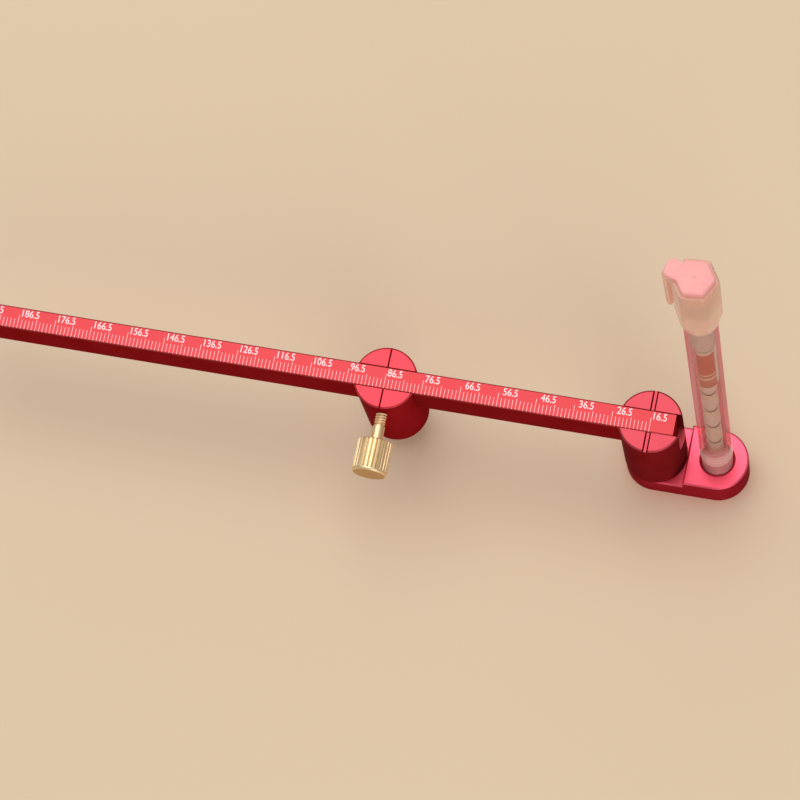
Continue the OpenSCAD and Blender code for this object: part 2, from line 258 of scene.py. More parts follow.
# finishes, with grain sizes and bump depths in millimetres
redFinish = {
    # two tones of the dye, its darker look where light crosses it at a slant, and its roughness; the foot's
    # two tones are painted light, a brighter copy of the red for the light on its top
    "redBeam": ((0.42, 0.040, 0.046, 1.0), (0.52, 0.063, 0.070, 1.0), (0.18, 0.020, 0.008, 1.0), 0.40),
    "redEndDrum": ((0.43, 0.046, 0.062, 1.0), (0.53, 0.076, 0.097, 1.0), (0.06, 0.008, 0.002, 1.0), 0.40),
    "redSlider": ((0.55, 0.041, 0.056, 1.0), (0.67, 0.067, 0.088, 1.0), (0.02, 0.003, 0.001, 1.0), 0.40),
    # painted light: the foot is a brighter, lit copy of the red
    "redFoot": ((0.74, 0.086, 0.134, 1.0), (0.90, 0.124, 0.194, 1.0), (0.03, 0.006, 0.002, 1.0), 0.36),
    "cloud": 6.0,  # size of the slow change in the dye
    "cloudTone": 0.7,
    "cloudRough": 0.08,
    "blast": 0.09,  # size of the blasted grain
    "blastTone": 0.3,
    "blastRough": 0.06,
    "blastDepth": 0.006,
    "meanRough": 0.06,  # taken off, as both grains add to it
    "toolLine": 0.16,
    "toolDepth": 0.004,
    "drawnRun": (0.02, 1.0, 1.0),  # tool lines run along the beam
    "milledRun": (1.0, 0.05, 1.0),  # and across the foot
    "paintedGrooveShade": (0.22, 0.010, 0.018, 1.0),  # painted shade on the walls of the index marks
    "paintedShadeDepth": 0.4,
    # the walls of the marks across the drums' tops, each with its edges, which take the painted shade
    "endGroove": ((-0.76, -0.32), (0.32, 0.76)),
    "sliderNotch": ((-0.03, 0.24),),
}


def redAnodised(name, toolMarks, grooveShadeMask=None):
    s = redFinish
    look = Finish(name)
    blast = look.grain(s["blast"], richGrain)
    cloud = look.grain(s["cloud"], richGrain)
    low, high, grazing, roughness = s[name]
    colour = look.mixed(cloud * s["cloudTone"] + blast * s["blastTone"], low, high)
    # painted shade: the walls of an index mark are painted dark
    if grooveShadeMask:
        colour = look.mixed(grooveShadeMask(look), colour, s["paintedGrooveShade"])
    height = blast * s["blastDepth"] + toolMarks(look) * s["toolDepth"]
    return look.close({
        "Base Color": colour,
        "Metallic": 1.0,
        "Specular Tint": grazing,
        "Roughness": roughness - s["meanRough"] + cloud * s["cloudRough"] + blast * s["blastRough"],
        "Normal": look.bump(height, 1.0),
    })


# where the painted shade goes: the walls of an index mark, down from the drum's top
def indexGrooveShade(axisX, name):
    def mask(look):
        x, y, z = look.axes(shift=(-axisX * mm, 0.0, -drumTop * mm))
        walls = 0.0
        for start, end in redFinish[name]:
            walls = walls + (x > start * mm) * (x < end * mm)
        return walls * (z > -redFinish["paintedShadeDepth"] * mm)
    return mask


def turnedMarks(axisX):
    def marks(look):
        x, y, z = look.axes(shift=(-axisX * mm, 0.0, 0.0))
        radius = (x * x + y * y) ** 0.5
        return look.lines(radius, redFinish["toolLine"]) + look.lines(z, redFinish["toolLine"])
    return marks


def straightMarks(run):
    def marks(look):
        return look.grain(redFinish["toolLine"], plainGrain, redFinish[run])
    return marks


printFinish = {
    "low": (0.92, 0.64, 0.66, 1.0),
    "high": (1.0, 0.82, 0.83, 1.0),
    "speck": 0.06,
    "rough": 0.55,
    "speckRough": 0.2,
}


def whitePrint():
    s = printFinish
    look = Finish("whitePrint")
    speck = look.grain(s["speck"])
    colour = look.mixed(speck, s["low"], s["high"])
    return look.close({"Base Color": colour, "Roughness": s["rough"] + speck * s["speckRough"]})


brassFinish = {
    "low": (0.76, 0.57, 0.31, 1.0),
    "high": (0.92, 0.74, 0.48, 1.0),
    "paintedEndReflection": (0.56, 0.35, 0.14, 1.0),  # painted reflection: the end face is painted a darker brown, standing in for the warm surroundings it mirrors
    "endFaceDepth": 0.12,
    "tarnish": 2.2,
    "rough": 0.40,
    "tarnishRough": 0.12,
    "latheLine": 0.12,
    "latheDepth": 0.0015,
}


def turnedBrass():
    s = brassFinish
    look = Finish("turnedBrass")
    x, y, z = look.axes()
    tarnish = look.grain(s["tarnish"], richGrain)
    # painted reflection on the knob's end face
    paintedEndReflection = y < (screwLow.y + s["endFaceDepth"]) * mm
    colour = look.mixed(tarnish, s["low"], s["high"])
    return look.close({
        "Base Color": look.mixed(paintedEndReflection, colour, s["paintedEndReflection"]),
        "Metallic": 1.0,
        "Roughness": s["rough"] + tarnish * s["tarnishRough"],
        "Normal": look.bump(look.lines(y, s["latheLine"]), s["latheDepth"]),
    })


steelFinish = {
    "low": (0.46, 0.46, 0.48, 1.0),
    "high": (0.60, 0.60, 0.61, 1.0),
    "stain": 1.5,
    "rough": 0.24,
    "stainRough": 0.14,
    "latheLine": 0.10,
    "latheDepth": 0.004,
}


def groundSteel():
    s = steelFinish
    look = Finish("groundSteel")
    x, y, z = look.axes()
    stain = look.grain(s["stain"])
    return look.close({
        "Base Color": look.mixed(stain, s["low"], s["high"]),
        "Metallic": 1.0,
        "Roughness": s["rough"] + stain * s["stainRough"],
        "Normal": look.bump(look.lines(z, s["latheLine"]), s["latheDepth"]),
    })


clearFinish = {
    "facing": 0.5,  # an even blend, which runs from 0 face on to 1 at the rim
    "haze": 1.6,
    "hazeShare": 0.02,
    "hazeRough": 0.12,
    "rough": 0.12,
    "scratch": 0.25,
    "scratchRun": (1.0, 1.0, 0.08),
    "scratchDepth": 0.001,
    "leastMirror": 0.03,
    "mirrorPower": 5.0,
    "index": 1.49,
    "scatter": 0.4,
    "scatterReach": (0.0012, 0.0008, 0.0007),
}

clearBarrel = {
    "tint": (0.985, 0.93, 0.92, 1.0),
    "deepTint": (0.97, 0.50, 0.62, 1.0),  # at a slant light crosses more of the wall
    "slantStart": 0.65,
    "slantFull": 0.80,
    "wallMiddle": 3.6,  # the wall's outer face lies beyond this radius
    "body": (1.0, 0.36, 0.38, 1.0),
    "paleBody": (1.0, 0.50, 0.50, 1.0),
    "paintedRingHighlight": (1.0, 0.82, 0.80, 1.0),  # painted highlight: the grip rings are painted pale, for their glints
    "least": 0.0,  # share of the body that shows face on
    "most": 0.30,
    "frost": 0.55,
    "frostTop": 31.0,  # the grip below this height is frosted
    "frostFade": 8.0,
    "gloss": 0.12,
    "mirror": 0.45,
}

clearCap = {
    "tint": (0.995, 0.96, 0.94, 1.0),
    "deepTint": (0.99, 0.86, 0.82, 1.0),
    "slantStart": 0.64,
    "slantFull": 1.0,
    "wallMiddle": 0.0,
    "body": (1.0, 0.54, 0.41, 1.0),
    "paleBody": (1.0, 0.66, 0.53, 1.0),
    "least": 0.42,
    "most": 0.52,
    "frost": 0.15,
    "frostTop": 141.0,
    "frostFade": 4.0,
    "gloss": 0.2,
    "mirror": 0.96,
}


def clearPlastic(name, tones):
    s = {**clearFinish, **tones}
    look = Finish(name)
    x, y, z = look.axes(shift=(-penX * mm, 0.0, 0.0))
    outside = (x * x + y * y) > (s["wallMiddle"] * mm) ** 2
    rim = look.add("ShaderNodeLayerWeight", None, {"Blend": s["facing"]}, "Facing")
    haze = look.grain(s["haze"])
    scratch = look.grain(s["scratch"], plainGrain, s["scratchRun"])
    surface = look.bump(scratch, s["scratchDepth"])
    straight = look.add("ShaderNodeBsdfTransparent", None, {"Color": s["tint"]})
    slanting = look.add("ShaderNodeBsdfTransparent", None, {"Color": s["deepTint"]})
    slant = ((rim - s["slantStart"]) / (s["slantFull"] - s["slantStart"])).limited() * outside
    through = look.add("ShaderNodeMixShader", None, [slant, straight, slanting])
    gloss = look.add("ShaderNodeBsdfGlossy", None, {"Roughness": s["gloss"], "Normal": surface})
    mirror = s["leastMirror"] + s["mirror"] * rim ** s["mirrorPower"]
    clear = look.add("ShaderNodeMixShader", None, [mirror, through, gloss])
    tone = look.mixed(haze, s["body"], s["paleBody"])
    # painted highlight: bands on the grip rings are painted pale
    if "paintedRingHighlight" in s:
        climb = z / mm - barrel["ringStart"]
        ringHighlightMask = (climb % barrel["ringPitch"] < barrel["ringWidth"]) * (climb > 0.0) * outside
        ringHighlightMask = ringHighlightMask * (climb < barrel["rings"] * barrel["ringPitch"])
        tone = look.mixed(ringHighlightMask, tone, s["paintedRingHighlight"])
    solid = look.shader({
        "Base Color": tone,
        "Roughness": s["rough"] + haze * s["hazeRough"],
        "Normal": surface,
        "IOR": s["index"],
        "Subsurface Weight": s["scatter"],
        "Subsurface Radius": s["scatterReach"],
    })
    frosted = ((s["frostTop"] * mm - z) / (s["frostFade"] * mm)).limited() * s["frost"]
    body = s["least"] + slant * slant * (s["most"] - s["least"])
    share = body + frosted + haze * s["hazeShare"]
    return look.close(look.add("ShaderNodeMixShader", None, [share, clear, solid]))


milkyFinish = {
    "flow": 1.2,
    "flowRun": (1.0, 1.0, 0.3),
    "flowRough": 0.16,
    "rough": 0.36,
    "pore": 0.12,
    "poreDepth": 0.004,
    "scatter": 0.15,
    "scatterReach": (0.0012, 0.0010, 0.0009),
}

milkyHolders = {
    "low": (0.59, 0.48, 0.38, 1.0),
    "high": (0.74, 0.63, 0.51, 1.0),
}

paleNylon = {
    "low": (0.70, 0.68, 0.62, 1.0),
    "high": (0.80, 0.78, 0.72, 1.0),
}

milkyBush = {
    "low": (0.52, 0.44, 0.37, 1.0),
    "high": (0.64, 0.57, 0.49, 1.0),
    "paintedCapLight": (0.84, 0.66, 0.55, 1.0),  # painted light: a warmer tone where the cap covers it, standing in for the cap's tinted light
    "paintedCapLightFade": 12.0,
    "scatter": 0.3,
    "scatterReach": (0.0020, 0.0014, 0.0012),
}


def milkyPlastic(name, tones):
    s = {**milkyFinish, **tones}
    look = Finish(name)
    flow = look.grain(s["flow"], richGrain, s["flowRun"])
    colour = look.mixed(flow, s["low"], s["high"])
    # painted light: the bush is painted warmer under the cap, fading in from the cap's rim
    if "paintedCapLight" in s:
        x, y, z = look.axes()
        capLightShare = ((z / mm - capLow.z) / s["paintedCapLightFade"]).limited()
        colour = look.mixed(capLightShare, colour, s["paintedCapLight"])
    return look.close({
        "Base Color": colour,
        "Roughness": s["rough"] + flow * s["flowRough"],
        "Subsurface Weight": s["scatter"],
        "Subsurface Radius": s["scatterReach"],
        "Normal": look.bump(look.grain(s["pore"]), s["poreDepth"]),
    })


pinkFinish = {
    "low": (0.85, 0.335, 0.325, 1.0),
    "high": (0.91, 0.435, 0.405, 1.0),
    "cloud": 2.5,
    "cloudTone": 0.7,
    "powder": 0.10,
    "powderTone": 0.3,
    "powderRough": 0.2,
    "powderDepth": 0.012,
    "rough": 0.50,
    "scatter": 0.12,
    "scatterReach": (0.0015, 0.0006, 0.0006),
}


def softPink():
    s = pinkFinish
    look = Finish("softPink")
    powder = look.grain(s["powder"], richGrain)
    cloud = look.grain(s["cloud"], richGrain)
    return look.close({
        "Base Color": look.mixed(cloud * s["cloudTone"] + powder * s["powderTone"], s["low"], s["high"]),
        "Roughness": s["rough"] + powder * s["powderRough"],
        "Subsurface Weight": s["scatter"],
        "Subsurface Radius": s["scatterReach"],
        "Normal": look.bump(powder, s["powderDepth"]),
    })


labelFinish = {
    "coral": (0.54, 0.18, 0.11, 1.0),
    "cream": (0.66, 0.55, 0.40, 1.0),
    "orange": (0.52, 0.105, 0.045, 1.0),
    # where each plain band starts, as a share of the label's height
    "bands": (
        (0.0, "coral"), (0.22, "cream"), (0.27, "orange"), (0.33, "cream"), (0.36, "orange"), (0.92, "cream"),
    ),
    "margin": (0.76, 0.74, 0.68, 1.0),
    "marginStart": -22.0,  # the margin is bare from this bearing on, in degrees from +X
    "fibre": 0.15,
    "fibreRun": (1.0, 1.0, 0.4),
    "fibreTone": (0.64, 0.36, 0.25, 1.0),
    "fibreShare": 0.2,
    "fibreRough": 0.2,
    "fibreDepth": 0.006,
    "rough": 0.45,
}


def printedLabel():
    s = labelFinish
    look = Finish("printedLabel")
    x, y, z = look.axes(shift=(-penX * mm, 0.0, 0.0))
    height = (z / mm - labelLow.z) / (labelHigh.z - labelLow.z)
    stops = [(start, s[name]) for start, name in s["bands"]]
    colour = look.add("ShaderNodeValToRGB", {"stops": stops}, {"Fac": height})
    colour.socket.node.color_ramp.interpolation = "CONSTANT"
    onMargin = y.calc("ARCTAN2", y, x) > math.radians(s["marginStart"])
    colour = look.mixed(onMargin, colour, s["margin"])
    fibre = look.grain(s["fibre"], richGrain, s["fibreRun"])
    return look.close({
        "Base Color": look.mixed(fibre * s["fibreShare"], colour, s["fibreTone"]),
        "Roughness": s["rough"] + fibre * s["fibreRough"],
        "Normal": look.bump(fibre, s["fibreDepth"]),
    })


graphiteFinish = {
    "low": (0.020, 0.020, 0.022, 1.0),
    "high": (0.06, 0.06, 0.065, 1.0),
    "metal": 0.3,
    "flake": 0.08,
    "flakeRough": 0.2,
    "flakeDepth": 0.008,
    "rough": 0.42,
}


def dullGraphite():
    s = graphiteFinish
    look = Finish("dullGraphite")
    flake = look.grain(s["flake"], richGrain)
    return look.close({
        "Base Color": look.mixed(flake, s["low"], s["high"]),
        "Metallic": s["metal"],
        "Roughness": s["rough"] + flake * s["flakeRough"],
        "Normal": look.bump(flake, s["flakeDepth"]),
    })


def paleFloor():
    look = Finish("paleFloor")
    high = studio["floorColour"]
    low = tuple(studio["floorShade"] * part for part in high[:3]) + high[3:]
    colour = look.mixed(look.grain(studio["floorCloud"]), low, high)
    return look.close({"Base Color": colour, "Roughness": studio["floorRough"]})


# meshes and pieces
creaseAngle = 35.0  # an edge is sharp when its faces meet at more degrees
roundSegments = 96


def smooth(mesh, sharpAngle):
    mesh.shade_smooth()
    mesh.set_sharp_from_angle(angle=math.radians(sharpAngle))


def newMesh(name, verts, faces, sharpAngle=creaseAngle):
    mesh = bpy.data.meshes.new(name)
    mesh.from_pydata(verts, [], faces)
    tidy = bmesh.new()
    tidy.from_mesh(mesh)
    bmesh.ops.recalc_face_normals(tidy, faces=tidy.faces)
    tidy.to_mesh(mesh)
    tidy.free()
    smooth(mesh, sharpAngle)
    return mesh


def loft(name, rings, sharpAngle=creaseAngle, closed=False):
    # rings are lists of points of equal length, and a ring of one point is a pole
    verts = []
    starts = []
    for ring in rings:
        starts.append(len(verts))
        verts.extend(ring)
    count = max(len(ring) for ring in rings)
    pairs = list(zip(range(len(rings)), range(1, len(rings))))
    if closed:
        pairs.append((len(rings) - 1, 0))
    faces = []
    for a, b in pairs:
        for i in range(count):
            j = (i + 1) % count
            corners = [(a, i), (a, j), (b, j), (b, i)]
            face = [starts[r] + (k if len(rings[r]) > 1 else 0) for r, k in corners]
            faces.append(list(dict.fromkeys(face)))
    return newMesh(name, verts, faces, sharpAngle)


def circleRing(radius, z, segments):
    if radius == 0:
        return [(0.0, 0.0, z * mm)]
    turn = 2 * math.pi / segments
    turns = [i * turn for i in range(segments)]
    return [(radius * mm * math.cos(t), radius * mm * math.sin(t), z * mm) for t in turns]


def lathe(name, profile, segments=roundSegments, closed=False):
    return loft(name, [circleRing(r, z, segments) for r, z in profile], closed=closed)


def arc(centreR, centreZ, radius, start, end, steps):
    turns = [math.radians(start + (end - start) * i / steps) for i in range(steps + 1)]
    return [(centreR + radius * math.cos(t), centreZ + radius * math.sin(t)) for t in turns]


def prism(name, first, second, sharpAngle):
    # two outlines with the same number of points, joined by walls
    count = len(first)
    verts = [(x * mm, y * mm, z * mm) for x, y, z in first + second]
    faces = [tuple(range(count)), tuple(range(count, 2 * count))]
    faces += [(i, (i + 1) % count, count + (i + 1) % count, count + i) for i in range(count)]
    return newMesh(name, verts, faces, sharpAngle)


def keepMesh(name, made):
    mesh = bpy.data.meshes.new(name)
    made.to_mesh(mesh)
    made.free()
    return mesh


def ontoPencil(mesh):
    mesh.transform(Matrix.Translation((penX * mm, 0.0, 0.0)))
    return mesh


def asObject(name, mesh, material=None):
    obj = bpy.data.objects.new(name, mesh)
    bpy.context.scene.collection.objects.link(obj)
    if material:
        mesh.materials.clear()
        mesh.materials.append(material)
    return obj


def settle(obj):
    # live modifiers become plain mesh
    shape = bpy.context.evaluated_depsgraph_get()
    made = bpy.data.meshes.new_from_object(obj.evaluated_get(shape))
    obj.modifiers.clear()
    obj.data = made
    return obj


def fit(obj, body, slot, *replaced):
    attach(obj, body)
    if replaced:
        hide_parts(*replaced)


def finishNodes(material, *names):
    for name in names:
        for place in nodes[name].material_slots:
            place.material = material


class GeometryTree(Graph):
    # a Geometry Nodes tree whose sizes are named inputs
    def __init__(self, name, sizes):
        super().__init__(bpy.data.node_groups.new(name, "GeometryNodeTree"))
        face = self.tree.interface
        face.new_socket("Geometry", in_out="INPUT", socket_type="NodeSocketGeometry")
        face.new_socket("Geometry", in_out="OUTPUT", socket_type="NodeSocketGeometry")
        self.sizes = sizes
        self.keys = {}
        for key in sizes:
            self.keys[key] = face.new_socket(key, in_out="INPUT", socket_type="NodeSocketFloat").identifier
        self.entry = self.tree.nodes.new("NodeGroupInput")

    def size(self, key):
        # a named input, or the geometry
        return Val(self, self.entry.outputs[key])

    def polar(self):
        # each point's height, its distance from the Z axis and its share of a turn round it
        x, y, z = self.place = self.split(self.add("GeometryNodeInputPosition"))
        return z, (x * x + y * y) ** 0.5, y.calc("ARCTAN2", y, x) / (2 * math.pi)

    def regrown(self, factor):
        # each point's distance from the Z axis is multiplied
        x, y, z = self.place
        moved = self.add("ShaderNodeCombineXYZ", None, [x * factor, y * factor, z])
        sockets = {"Geometry": self.size("Geometry"), "Position": moved}
        return self.add("GeometryNodeSetPosition", None, sockets)

    def close(self, geometry, material):
        whole = self.add("GeometryNodeRealizeInstances", None, {"Geometry": geometry})
        coated = self.add("GeometryNodeSetMaterial", None, {"Geometry": whole, "Material": material})
        self.add("NodeGroupOutput", None, {"Geometry": coated})

    def apply(self, obj):
        modifier = obj.modifiers.new(self.tree.name, "NODES")
        modifier.node_group = self.tree
        for key, value in self.sizes.items():
            modifier[self.keys[key]] = float(value)
        return settle(obj)


# millimetre scale on the beam
scale = {
    "firstReading": 16.5,
    "lastReading": 206.5,
    "spacing": 1.0,
    "middleEvery": 5.0,
    "longEvery": 10.0,  # these marks have a number
    "edgeGap": 0.25,
    "shortTick": 2.45,
    "middleTick": 2.95,
    "longTick": 3.75,
    "tickWidth": 0.12,
    "proud": 0.012,
    "figureHeight": 1.95,
    "figureWidth": 3.9,  # of the sample
    "sample": "46.5",
    "figureMiddle": 1.53,
    "figureOffset": 3.0,  # from a tick to the middle of its number
    "closeOffset": 2.3,
    "closeReadings": (16.5, 76.5, 86.5, 96.5),
    "boldness": 0.03,
    "leastMitre": 0.5,  # keeps a sharp corner from growing into a spike
    "weld": 0.002,
}


def scaleX(reading):
    return penX - reading


def makeTicks(material):
    s = scale
    tree = GeometryTree("tickRow", {
        "First x": scaleX(s["firstReading"]) * mm,
        "Edge y": (beamLow.y + s["edgeGap"]) * mm,
        "Top z": beamHigh.z * mm,
        "Spacing": s["spacing"] * mm,
        "Count": round((s["lastReading"] - s["firstReading"]) / s["spacing"]) + 1,
        "Short": s["shortTick"] * mm,
        "Middle": s["middleTick"] * mm,
        "Long": s["longTick"] * mm,
        "Width": s["tickWidth"] * mm,
        "Thickness": 2 * s["proud"] * mm,
    })
    corner = [tree.size(key) for key in ("First x", "Edge y", "Top z")]
    start = tree.add("ShaderNodeCombineXYZ", None, corner)
    step = tree.add("ShaderNodeCombineXYZ", None, [tree.size("Spacing") * -1.0, 0.0, 0.0])
    row = tree.add("GeometryNodeMeshLine", None, {
        "Count": tree.size("Count"), "Start Location": start, "Offset": step,
    })
    index = tree.add("GeometryNodeInputIndex")
    isMiddle = (index % s["middleEvery"]) < 0.5
    isLong = (index % s["longEvery"]) < 0.5
    length = tree.size("Short") + isMiddle * (tree.size("Middle") - tree.size("Short"))
    length = length + isLong * (tree.size("Long") - tree.size("Middle"))
    # a unit cube that starts at the beam's edge
    bar = tree.add("GeometryNodeMeshCube")
    bar = tree.add("GeometryNodeTransform", None, {"Geometry": bar, "Translation": (0.0, 0.5, 0.0)})
    size = tree.add("ShaderNodeCombineXYZ", None, [tree.size("Width"), length, tree.size("Thickness")])
    ticks = tree.add("GeometryNodeInstanceOnPoints", None, {"Points": row, "Instance": bar, "Scale": size})
    tree.close(ticks, material)
    obj = tree.apply(asObject("scaleTicks", bpy.data.meshes.new("scaleTicks")))
    fit(obj, "gauge", "anodised_red")


def numberMesh(words):
    # a flat mesh of the figures, with its lowest and highest corner
    curve = bpy.data.curves.new("number", "FONT")
    curve.body = words
    obj = bpy.data.objects.new("number", curve)
    bpy.context.scene.collection.objects.link(obj)
    shape = bpy.context.evaluated_depsgraph_get()
    mesh = bpy.data.meshes.new_from_object(obj.evaluated_get(shape))
    bpy.data.objects.remove(obj)
    low = [min(v.co[k] for v in mesh.vertices) for k in (0, 1)]
    high = [max(v.co[k] for v in mesh.vertices) for k in (0, 1)]
    return mesh, low, high


def thicken(flat, distance):
    # every boundary edge of a flat mesh moves outwards
    pushes = {}
    for edge in flat.edges:
        if edge.is_boundary:
            start, end = edge.verts
            run = (end.co - start.co).normalized()
            away = Vector((run.y, -run.x, 0.0))
            if away.dot(start.co - edge.link_faces[0].calc_center_median()) < 0:
                away = -away
            for vert in edge.verts:
                pushes.setdefault(vert, []).append(away)
    for vert, ways in pushes.items():
        total = sum(ways, Vector((0.0, 0.0, 0.0)))
        mitre = max(total.length / len(ways), scale["leastMitre"])
        vert.co += total.normalized() * distance / mitre


def makeNumbers(material):
    s = scale
    whole = bmesh.new()
    low, high = numberMesh(s["sample"])[1:]
    across = s["figureWidth"] / (high[0] - low[0])
    upward = s["figureHeight"] / (high[1] - low[1])
    reading = s["firstReading"]
    while reading <= s["lastReading"]:
        mesh, low, high = numberMesh(f"{reading:.1f}")
        x = scaleX(reading) + s["closeOffset" if reading in s["closeReadings"] else "figureOffset"]
        home = Matrix.Translation(Vector((x, s["figureMiddle"], beamHigh.z)) * mm)
        shrink = Matrix.Diagonal((across * mm, upward * mm, mm, 1.0))
        centre = Matrix.Translation((-(low[0] + high[0]) / 2, -(low[1] + high[1]) / 2, 0.0))
        mesh.transform(home @ shrink @ centre)
        whole.from_mesh(mesh)
        reading += s["longEvery"] * s["spacing"]
    bmesh.ops.remove_doubles(whole, verts=whole.verts, dist=s["weld"] * mm)
    thicken(whole, s["boldness"] * mm)
    bmesh.ops.translate(whole, verts=whole.verts, vec=(0.0, 0.0, -s["proud"] * mm))
    raised = bmesh.ops.extrude_face_region(whole, geom=whole.faces[:], use_keep_orig=True)
    lifted = [part for part in raised["geom"] if isinstance(part, bmesh.types.BMVert)]
    bmesh.ops.translate(whole, verts=lifted, vec=(0.0, 0.0, 2 * s["proud"] * mm))
    bmesh.ops.recalc_face_normals(whole, faces=whole.faces)
    # the walls come in any order, and each run has to give the same mesh
    ordered = sorted(whole.faces, key=lambda face: tuple(face.calc_center_median()))
    for i, face in enumerate(ordered):
        face.index = i
    whole.faces.sort()
    fit(asObject("scaleNumbers", keepMesh("scaleNumbers", whole), material), "gauge", "anodised_red")


# brass thumb screw
thumbScrew = {
    "threadRadius": 1.5,
    "threadDepth": 0.3,
    "threadSlope": 2.6,  # how steeply a ridge falls off on both sides
    "threadShort": 0.3,  # from the end of the ridge to the neck
    "rootBand": (0.95, 1.02),  # shares of the root's radius between which the ridge grows
    "pitch": 0.7,
    "rowsPerTurn": 10,
    "segments": 48,
    "neckRadius": 1.6,
    "neckLength": 4.3,
    "neckEdge": 0.1,
    "neckSunk": 1.0,  # the neck goes on inside the knob
    "socketRadius": 0.65,
    "socketDepth": 1.65,
    "knobRadius": 4.6,
    "knobLength": 9.0,
    "flutes": 26,
    "fluteDepth": 0.5,
    "fluteShare": 0.42,
    "flutePower": 0.55,  # below 1, so that a flute has a round floor
    "fluteSegments": 12,
    "fluteShort": 0.3,  # from the end of a flute to the outer bevel
    "innerBevel": 0.35,
    "innerSteps": 3,
    "innerLoop": 0.2,
    "sideLoops": (0.3, 0.5, 0.15),  # rings of points beside the bevels
    "outerBevel": 0.8,
    "outerSteps": 5,
    "outerLoop": 0.6,
    "sharpAngle": 40.0,
}


def screwPlace():
    place = Matrix.Translation(Vector((sliderX, screwHigh.y, clampZ)) * mm)
    return place @ Matrix.Rotation(math.pi / 2, 4, "X")


def threadedNeck(material):
    s = thumbScrew
    neckEnd = screwHigh.y - screwLow.y - s["knobLength"]
    sunkEnd = neckEnd + s["neckSunk"]
    threadEnd = neckEnd - s["neckLength"]
    rows = round(threadEnd / s["pitch"] * s["rowsPerTurn"])
    root = s["threadRadius"] - s["threadDepth"]
    profile = [(0, s["socketDepth"]), (s["socketRadius"], s["socketDepth"]), (s["socketRadius"], 0)]
    profile += [(root, threadEnd * i / rows) for i in range(rows + 1)]
    profile += [(s["neckRadius"] - s["neckEdge"], threadEnd), (s["neckRadius"], threadEnd + s["neckEdge"])]
    profile += [(s["neckRadius"], sunkEnd), (0, sunkEnd)]
    least, most = s["rootBand"]
    tree = GeometryTree("screwThread", {
        "Pitch": s["pitch"] * mm,
        "Depth": s["threadDepth"] * mm,
        "Slope": s["threadSlope"],
        "Least": root * least * mm,
        "Most": root * most * mm,
        "End": (threadEnd - s["threadShort"]) * mm,
    })
    z, radius, turn = tree.polar()
    ridge = 1.0 - abs((z / tree.size("Pitch") - turn) % 1.0 - 0.5) * tree.size("Slope")
    onThread = (z < tree.size("End")) * (radius > tree.size("Least")) * (radius < tree.size("Most"))
    grow = 1.0 + onThread * ridge.atLeast(0.0) * tree.size("Depth") / (radius + tiny)
    tree.close(tree.regrown(grow), material)
    return tree.apply(asObject("threadedNeck", lathe("threadedNeck", profile, s["segments"]), material))


def flutedKnob(material):
    s = thumbScrew
    start = screwHigh.y - screwLow.y - s["knobLength"]
    end = start + s["knobLength"]
    rim = s["knobRadius"]
    inner, outer = s["innerBevel"], s["outerBevel"]
    nearLoop, farLoop, lastLoop = s["sideLoops"]
    profile = [(0, start), (rim - inner - s["innerLoop"], start)]
    profile += arc(rim - inner, start + inner, inner, -90, 0, s["innerSteps"])
    profile += [(rim, start + inner + nearLoop), (rim, end - outer - farLoop), (rim, end - outer - lastLoop)]
    profile += arc(rim - outer, end - outer, outer, 0, 90, s["outerSteps"])
    profile += [(rim - outer - s["outerLoop"], end), (0, end)]
    tree = GeometryTree("knobFlutes", {
        "Flutes": s["flutes"],
        "Depth": s["fluteDepth"] * mm,
        "Share": s["fluteShare"],
        "Power": s["flutePower"],
        "Radius": (rim - inner) * mm,
        "End": (end - outer - s["fluteShort"]) * mm,
    })
    z, radius, turn = tree.polar()
    groove = 1.0 - abs((turn * tree.size("Flutes")) % 1.0 - 0.5) * 2.0 / tree.size("Share")
    groove = groove.atLeast(0.0) ** tree.size("Power")
    cut = groove * tree.size("Depth") * (radius > tree.size("Radius")) * (z < tree.size("End"))
    tree.close(tree.regrown(1.0 - cut / (radius + tiny)), material)
    turned = lathe("flutedKnob", profile, s["flutes"] * s["fluteSegments"])
    return tree.apply(asObject("flutedKnob", turned, material))


def makeThumbScrew(material):
    whole = bmesh.new()
    for made in (threadedNeck(material), flutedKnob(material)):
        made.data.transform(screwPlace())
        whole.from_mesh(made.data)
        bpy.data.objects.remove(made)
    mesh = keepMesh("thumbScrew", whole)
    smooth(mesh, thumbScrew["sharpAngle"])
    fit(asObject("thumbScrew", mesh, material), "clamp_screw", "brass", "clamp_screw")


# pencil
barrel = {
    "radius": 4.15,
    "bore": 3.05,
    "boreEdge": 0.1,
    "noseEndRadius": 1.7,
    "noseEdge": (0.15, 0.2),  # inwards and upwards
    "noseTop": 9.5,
    "shoulder": ((0.3, -0.7), (0.07, 0.0), (0.0, 0.8)),  # inwards, and up from the nose's top
    "throat": 1.15,
    "wall": 1.1,
    "seatRadius": 1.9,
    "ringStart": 18.0,
    "ringPitch": 2.2,
    "rings": 4,
    "ringWidth": 0.6,
    "ringOut": 0.12,
    "ringSteps": 6,
    "lip": 0.25,
    "lipSteps": 4,
}


